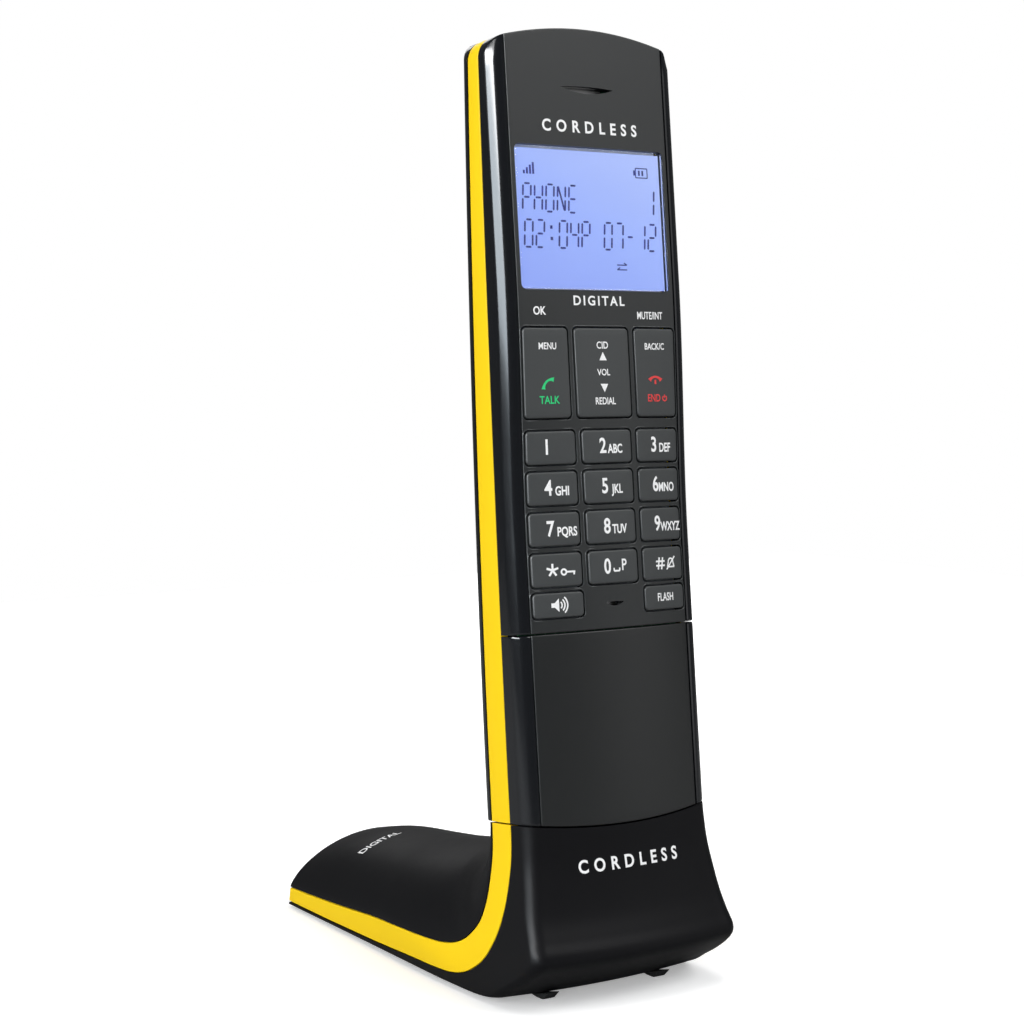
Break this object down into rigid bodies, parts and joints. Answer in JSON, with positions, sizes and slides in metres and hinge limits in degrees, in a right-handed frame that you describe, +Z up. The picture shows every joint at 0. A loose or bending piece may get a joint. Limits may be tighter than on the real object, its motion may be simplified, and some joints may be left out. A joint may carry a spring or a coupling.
{
  "type": "cordless phone with charging base",
  "caption": "Slim cordless phone handset standing on an L-shaped charging base, with a lit display, keypad, coloured side bands and a lift-off handset.",
  "frame": {"origin": "middle of the bounding box at table level", "axes": "+X to the right of the keypad, +Y towards the back of the foot, +Z up"},
  "size_m": [0.0602, 0.123, 0.2217],
  "materials": {
    "gloss_black": "high-gloss near-black plastic",
    "satin_black": "fine satin black plastic",
    "charcoal": "satin charcoal plastic",
    "key_charcoal": "satin charcoal key plastic",
    "yellow": "bright yellow plastic, semi-gloss",
    "clear": "clear acrylic window",
    "display_blue": "backlit blue liquid-crystal panel",
    "white_plastic": "white diffuser plastic",
    "board_green": "green circuit board",
    "rubber": "matt black rubber",
    "silicone": "grey silicone mat",
    "cell_sleeve": "green shrink sleeve",
    "nickel": "nickel plated",
    "steel": "plain steel"
  },
  "bodies": {
    "base": {"base_front_shell": "satin_black", "base_top_shell": "satin_black", "base_band_left": "yellow", "base_band_right": "yellow", "rear_panel": "satin_black", "docking_tongue": "satin_black", "base_board": "board_green", "line_socket": "satin_black", "power_socket": "satin_black", "steel_weight": "steel", "rear_foot_left": "rubber", "rear_foot_right": "rubber", "front_foot_left": "rubber", "front_foot_right": "rubber", "base_screw_left": "nickel", "base_screw_right": "nickel"},
    "handset": {"front_housing_upper": "gloss_black", "keypad_faceplate": "charcoal", "front_housing_lower": "gloss_black", "lower_front_panel": "charcoal", "handset_band": "yellow", "rear_cover": "gloss_black", "display_window": "clear", "display_panel": "display_blue", "backlight_holder": "white_plastic", "key_membrane": "silicone", "handset_board": "board_green", "battery_contact_upper": "nickel", "battery_contact_lower": "nickel", "battery_cell_left": "cell_sleeve", "battery_cell_right": "cell_sleeve", "earpiece_receiver": "steel", "ringer_speaker": "steel", "microphone": "steel", "charge_contact_left": "nickel", "charge_contact_right": "nickel", "handset_end_plate": "satin_black", "handset_screw_left": "nickel", "handset_screw_right": "nickel"},
    "battery_door": {"battery_door": "gloss_black"},
    "page_button": {"page_button": "satin_black"},
    "charge_pin_left": {"charge_pin_left": "nickel"},
    "charge_pin_right": {"charge_pin_right": "nickel"},
    "key_1": {"key_1": "key_charcoal"},
    "key_2": {"key_2": "key_charcoal"},
    "key_3": {"key_3": "key_charcoal"},
    "key_4": {"key_4": "key_charcoal"},
    "key_5": {"key_5": "key_charcoal"},
    "key_6": {"key_6": "key_charcoal"},
    "key_7": {"key_7": "key_charcoal"},
    "key_8": {"key_8": "key_charcoal"},
    "key_9": {"key_9": "key_charcoal"},
    "key_star": {"key_star": "key_charcoal"},
    "key_0": {"key_0": "key_charcoal"},
    "key_hash": {"key_hash": "key_charcoal"},
    "speaker_key": {"speaker_key": "key_charcoal"},
    "flash_key": {"flash_key": "key_charcoal"},
    "menu_talk_key": {"menu_talk_key": "key_charcoal"},
    "navigation_key": {"navigation_key": "key_charcoal"},
    "back_end_key": {"back_end_key": "key_charcoal"}
  },
  "joints": [
    {"name": "handset_lift", "type": "slide", "parent": "base", "child": "handset", "axis": [0, 0.0969, 0.9953], "range_m": [0, 0.06]},
    {"name": "battery_door_lift", "type": "slide", "parent": "handset", "child": "battery_door", "axis": [0, 0.9953, -0.0969], "range_m": [0, 0.02]},
    {"name": "page_button_press", "type": "slide", "parent": "base", "child": "page_button", "axis": [0, 0, -1], "range_m": [0, 0.0008], "stiffness_N_per_m": 500},
    {"name": "charge_pin_left_travel", "type": "slide", "parent": "base", "child": "charge_pin_left", "axis": [0, 0.0969, 0.9953], "range_m": [0, 0.00101]},
    {"name": "charge_pin_right_travel", "type": "slide", "parent": "base", "child": "charge_pin_right", "axis": [0, 0.0969, 0.9953], "range_m": [0, 0.00101]},
    {"name": "key_1_press", "type": "slide", "parent": "handset", "child": "key_1", "axis": [0, 0.9953, -0.0969], "range_m": [0, 0.0008], "stiffness_N_per_m": 400},
    {"name": "key_2_press", "type": "slide", "parent": "handset", "child": "key_2", "axis": [0, 0.9953, -0.0969], "range_m": [0, 0.0008], "stiffness_N_per_m": 400},
    {"name": "key_3_press", "type": "slide", "parent": "handset", "child": "key_3", "axis": [0, 0.9953, -0.0969], "range_m": [0, 0.0008], "stiffness_N_per_m": 400},
    {"name": "key_4_press", "type": "slide", "parent": "handset", "child": "key_4", "axis": [0, 0.9953, -0.0969], "range_m": [0, 0.0008], "stiffness_N_per_m": 400},
    {"name": "key_5_press", "type": "slide", "parent": "handset", "child": "key_5", "axis": [0, 0.9953, -0.0969], "range_m": [0, 0.0008], "stiffness_N_per_m": 400},
    {"name": "key_6_press", "type": "slide", "parent": "handset", "child": "key_6", "axis": [0, 0.9953, -0.0969], "range_m": [0, 0.0008], "stiffness_N_per_m": 400},
    {"name": "key_7_press", "type": "slide", "parent": "handset", "child": "key_7", "axis": [0, 0.9953, -0.0969], "range_m": [0, 0.0008], "stiffness_N_per_m": 400},
    {"name": "key_8_press", "type": "slide", "parent": "handset", "child": "key_8", "axis": [0, 0.9953, -0.0969], "range_m": [0, 0.0008], "stiffness_N_per_m": 400},
    {"name": "key_9_press", "type": "slide", "parent": "handset", "child": "key_9", "axis": [0, 0.9953, -0.0969], "range_m": [0, 0.0008], "stiffness_N_per_m": 400},
    {"name": "key_star_press", "type": "slide", "parent": "handset", "child": "key_star", "axis": [0, 0.9953, -0.0969], "range_m": [0, 0.0008], "stiffness_N_per_m": 400},
    {"name": "key_0_press", "type": "slide", "parent": "handset", "child": "key_0", "axis": [0, 0.9953, -0.0969], "range_m": [0, 0.0008], "stiffness_N_per_m": 400},
    {"name": "key_hash_press", "type": "slide", "parent": "handset", "child": "key_hash", "axis": [0, 0.9953, -0.0969], "range_m": [0, 0.0008], "stiffness_N_per_m": 400},
    {"name": "speaker_key_press", "type": "slide", "parent": "handset", "child": "speaker_key", "axis": [0, 0.9953, -0.0969], "range_m": [0, 0.0008], "stiffness_N_per_m": 400},
    {"name": "flash_key_press", "type": "slide", "parent": "handset", "child": "flash_key", "axis": [0, 0.9953, -0.0969], "range_m": [0, 0.0008], "stiffness_N_per_m": 400},
    {"name": "menu_talk_key_rock", "type": "hinge", "parent": "handset", "child": "menu_talk_key", "pos_m": [-0.01545, -0.03962, 0.14269], "axis": [1, 0, 0], "range_deg": [-2, 2], "stiffness_Nm_per_rad": 0.08},
    {"name": "navigation_key_rock", "type": "hinge", "parent": "handset", "child": "navigation_key", "pos_m": [0, -0.03962, 0.14269], "axis": [1, 0, 0], "range_deg": [-2, 2], "stiffness_Nm_per_rad": 0.08},
    {"name": "back_end_key_rock", "type": "hinge", "parent": "handset", "child": "back_end_key", "pos_m": [0.01545, -0.03962, 0.14269], "axis": [1, 0, 0], "range_deg": [-2, 2], "stiffness_Nm_per_rad": 0.08}
  ],
  "couplings": [
    {"joint": "charge_pin_left_travel", "follows": "handset_lift", "ratio": 0.016667},
    {"joint": "charge_pin_right_travel", "follows": "handset_lift", "ratio": 0.016667}
  ]
}
